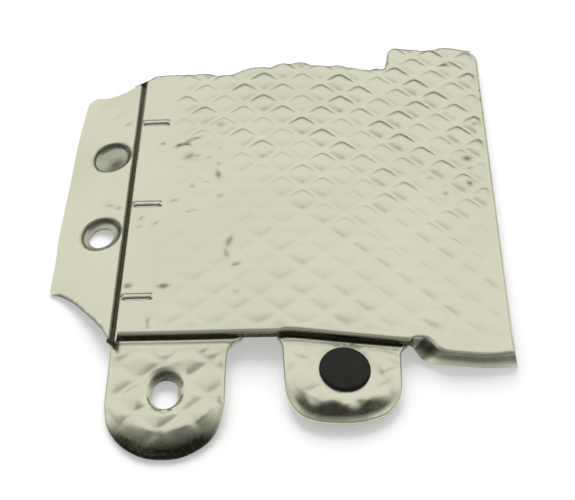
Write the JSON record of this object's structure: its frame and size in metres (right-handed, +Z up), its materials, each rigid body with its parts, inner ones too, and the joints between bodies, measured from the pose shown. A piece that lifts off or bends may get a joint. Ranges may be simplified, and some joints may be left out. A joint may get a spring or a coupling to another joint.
{
  "type": "starter heat shield",
  "caption": "Embossed aluminium starter heat shield: crowned panel with a creased flange, pressed cups, turned-down lips, a slotted tab and a tab with a black retainer button.",
  "frame": {"origin": "bottom centre of the box, on the plane the shield rests on", "axes": "+Z up from the resting plane, +Y along the crease away from the tabs, +X across the panel away from the flange"},
  "size_m": [0.1386, 0.166, 0.0097],
  "materials": {
    "sheet": "satin",
    "button": "matte"
  },
  "bodies": {
    "root": {"heat_shield": "sheet", "retainer_button": "button"}
  },
  "joints": []
}
